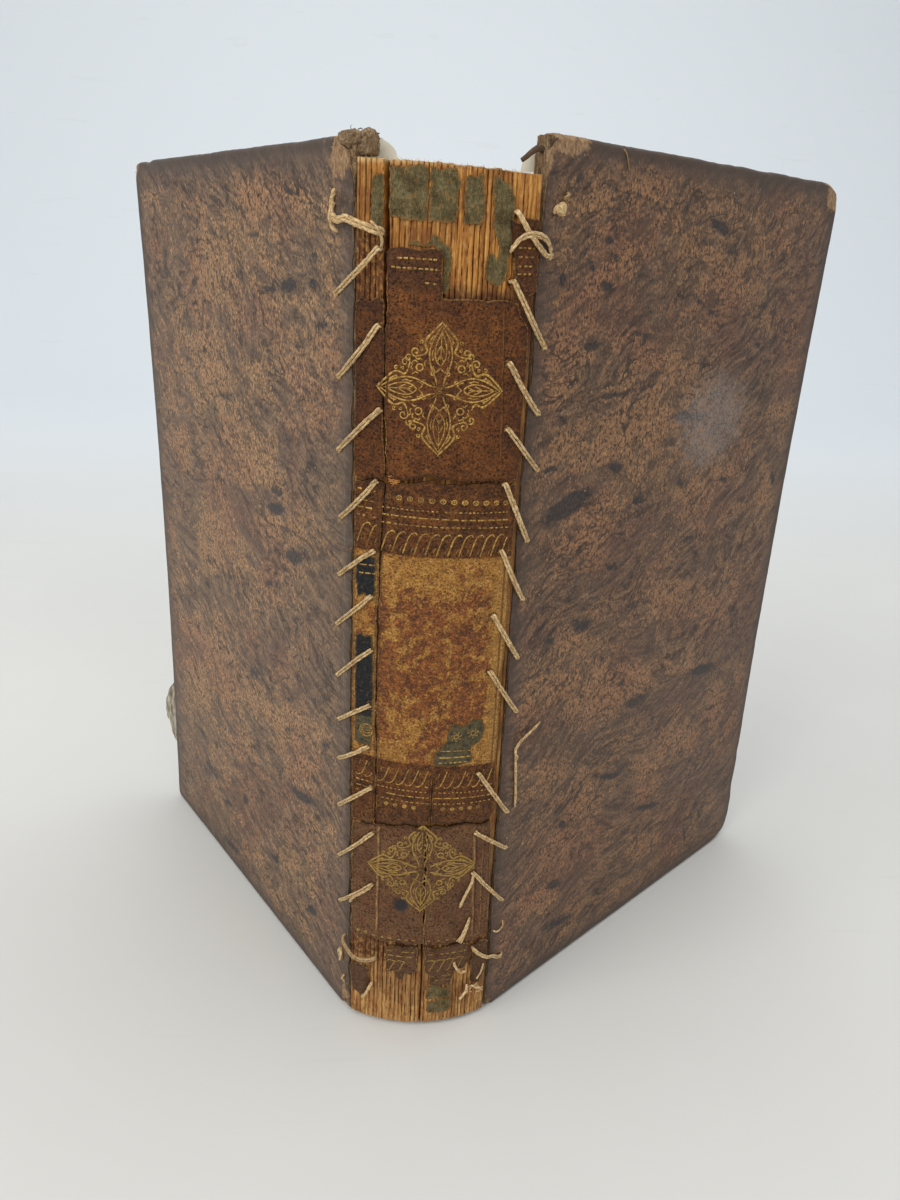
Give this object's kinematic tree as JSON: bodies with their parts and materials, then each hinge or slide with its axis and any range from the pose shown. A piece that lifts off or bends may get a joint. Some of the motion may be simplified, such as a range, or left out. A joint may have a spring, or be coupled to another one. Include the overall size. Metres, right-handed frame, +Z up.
{
  "type": "antique leather-bound book",
  "caption": "Worn calf-bound antique book standing open, its detached covers laced back to a cracked gilt spine with overcast twine.",
  "frame": {"origin": "bottom centre of the whole object's box, on the surface it stands on", "axes": "+Z up along the book's height, the spine faces -Y, the rear cover is on the -X side and the front cover on the +X side"},
  "size_m": [0.1972, 0.1288, 0.2114],
  "materials": {
    "leaves": "aged uncut leaves, glue-browned along the spine",
    "sewing_cord": "twisted hemp",
    "lining_paper": "grey-green lining paper, glue-stained",
    "spine_leather": "dry cracked calf with gilt tooling",
    "label_leather": "black label leather, mostly lost",
    "cover_leather": "marbled calf, satin",
    "pasteboard": "fibrous pasteboard",
    "endpaper": "foxed laid paper",
    "twine": "two-strand linen twine"
  },
  "bodies": {
    "book_block": {"text_block": "leaves", "sewing_cords": "sewing_cord", "head_lining_remnants": "lining_paper", "tail_lining_remnants": "lining_paper", "spine_leather_upper": "spine_leather", "spine_leather_upper_left": "spine_leather", "spine_leather_head_fragment": "spine_leather", "spine_leather_middle": "spine_leather", "spine_leather_middle_left": "spine_leather", "spine_leather_lower_left": "spine_leather", "spine_leather_lower_right": "spine_leather", "spine_leather_tail_fragments": "spine_leather", "label_remnants_side": "label_leather", "label_remnant_lower": "label_leather", "rear_stitches": "twine", "front_stitches": "twine"},
    "rear_cover": {"rear_board": "pasteboard", "rear_cover_leather": "cover_leather", "rear_endpaper": "endpaper"},
    "front_cover": {"front_board": "pasteboard", "front_cover_leather": "cover_leather", "front_endpaper": "endpaper", "front_twine_remnants": "twine"}
  },
  "joints": [
    {"name": "rear_cover_hinge", "type": "hinge", "parent": "book_block", "child": "rear_cover", "pos_m": [-0.03264, -0.05796, 0.1046], "axis": [0, 0, 1], "range_deg": [-32.6, 137.4], "deforming": ["rear_stitches", "rear_endpaper"]},
    {"name": "front_cover_hinge", "type": "hinge", "parent": "book_block", "child": "front_cover", "pos_m": [0.00406, -0.05796, 0.1057], "axis": [0, 0, -1], "range_deg": [-49.7, 120.3], "deforming": ["front_stitches", "front_endpaper"]}
  ]
}
